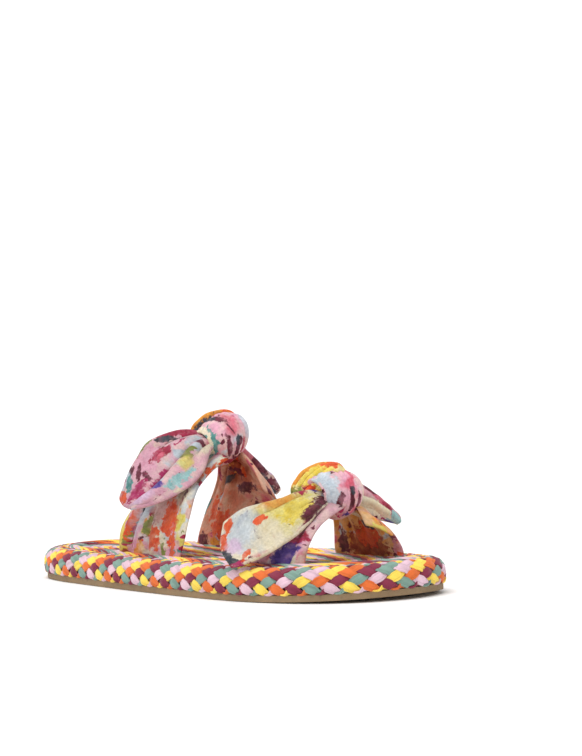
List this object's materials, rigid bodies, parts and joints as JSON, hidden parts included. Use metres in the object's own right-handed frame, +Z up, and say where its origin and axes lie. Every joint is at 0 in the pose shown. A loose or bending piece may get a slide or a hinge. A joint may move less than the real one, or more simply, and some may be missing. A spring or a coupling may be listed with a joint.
{
  "type": "slide sandal",
  "caption": "Flat slide sandal with a plaited fabric edge, a coiled braid footbed, a thin rubber outsole and two printed straps tied in bows.",
  "frame": {"origin": "middle of the flat underside of the outsole, on the surface that the sandal stands on", "axes": "+X to the toe, +Y to the inner side of the foot, +Z up"},
  "size_m": [0.2505, 0.0992, 0.079],
  "materials": {
    "outsole_rubber": "matt tan rubber",
    "midsole_foam": "plain foam, hidden",
    "insole_board": "pressed fibre board, hidden",
    "edge_plait": "plaited fabric strands in sage, lilac, yellow, orange and burgundy",
    "footbed_plait": "flat plait coiled on edge in the same five colours",
    "strap_print": "light satin weave with a watercolour floral print"
  },
  "bodies": {
    "sandal": {"outsole": "outsole_rubber", "midsole": "midsole_foam", "insole_board": "insole_board", "edge_braid": "edge_plait", "footbed_coil": "footbed_plait", "rear_lateral_anchor_tab": "strap_print", "rear_lateral_strap_leg": "strap_print", "rear_medial_anchor_tab": "strap_print", "rear_medial_strap_leg": "strap_print", "front_lateral_anchor_tab": "strap_print", "front_lateral_strap_leg": "strap_print", "front_medial_anchor_tab": "strap_print", "front_medial_strap_leg": "strap_print", "rear_knot": "strap_print", "rear_top_loop": "strap_print", "front_knot": "strap_print", "front_top_loop": "strap_print"},
    "rear_lateral_ear": {"rear_lateral_bow_ear": "strap_print"},
    "rear_medial_ear": {"rear_medial_bow_ear": "strap_print"},
    "front_lateral_ear": {"front_lateral_bow_ear": "strap_print"},
    "front_medial_ear": {"front_medial_bow_ear": "strap_print"}
  },
  "joints": [
    {"name": "rear_lateral_ear_lift", "type": "hinge", "parent": "sandal", "child": "rear_lateral_ear", "pos_m": [-0.013, -0.0055, 0.067], "axis": [-0.8944, 0, 0.4472], "range_deg": [0, 35]},
    {"name": "rear_medial_ear_lift", "type": "hinge", "parent": "sandal", "child": "rear_medial_ear", "pos_m": [-0.008, 0.0215, 0.066], "axis": [0.8168, -0.1906, -0.5445], "range_deg": [0, 35]},
    {"name": "front_lateral_ear_lift", "type": "hinge", "parent": "sandal", "child": "front_lateral_ear", "pos_m": [0.0735, -0.0163, 0.0422], "axis": [-0.6303, 0.1891, 0.7529], "range_deg": [0, 35]},
    {"name": "front_medial_ear_lift", "type": "hinge", "parent": "sandal", "child": "front_medial_ear", "pos_m": [0.0795, 0.0175, 0.048], "axis": [0.8168, -0.1906, -0.5445], "range_deg": [0, 35]}
  ]
}
